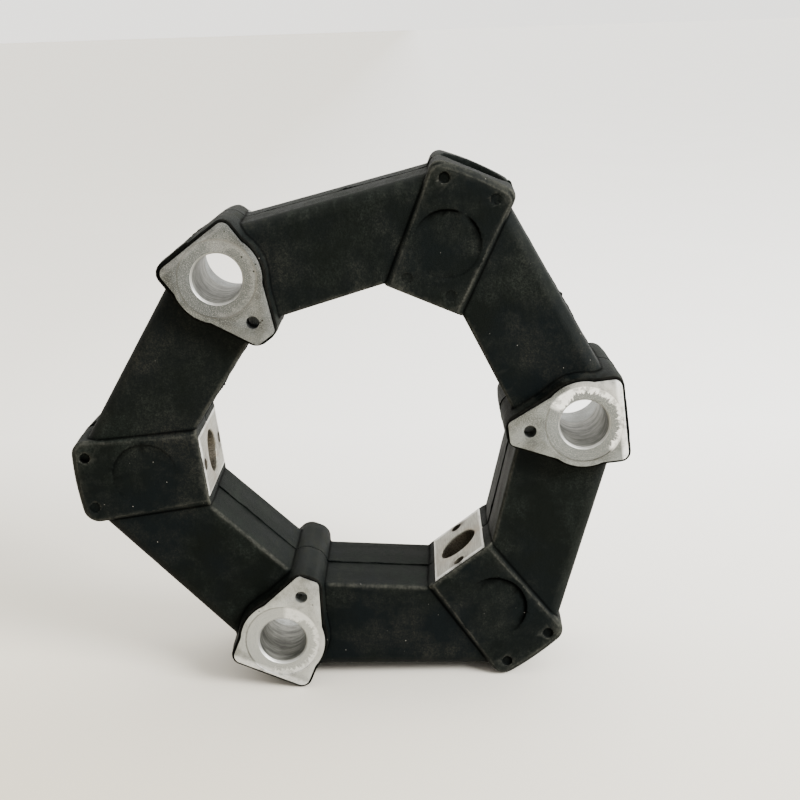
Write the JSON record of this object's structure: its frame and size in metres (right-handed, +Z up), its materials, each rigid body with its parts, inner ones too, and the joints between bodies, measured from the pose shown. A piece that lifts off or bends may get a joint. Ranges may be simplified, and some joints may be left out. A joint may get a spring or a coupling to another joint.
{
  "type": "flexible coupling element",
  "caption": "Hexagonal ring of moulded rubber with bonded aluminium inserts, drilled along the axis and along the radius in turn, that joins two shafts flexibly.",
  "frame": {"origin": "on the ring's axis, half way through its depth", "axes": "+Y along the ring's axis from the front, where the pin holes are, to the back; +Z up, with the ring standing on two corners"},
  "size_m": [0.2094, 0.056, 0.2007],
  "materials": {
    "rubber": "matt black moulded rubber with a dusty haze",
    "cast_aluminium": "cast, with machined faces and bores"
  },
  "bodies": {
    "root": {"rubber_body": "rubber", "axial_insert_right": "cast_aluminium", "axial_insert_upper_left": "cast_aluminium", "axial_insert_lower_left": "cast_aluminium", "radial_insert_top": "cast_aluminium", "radial_insert_left": "cast_aluminium", "radial_insert_lower_right": "cast_aluminium"}
  },
  "joints": []
}
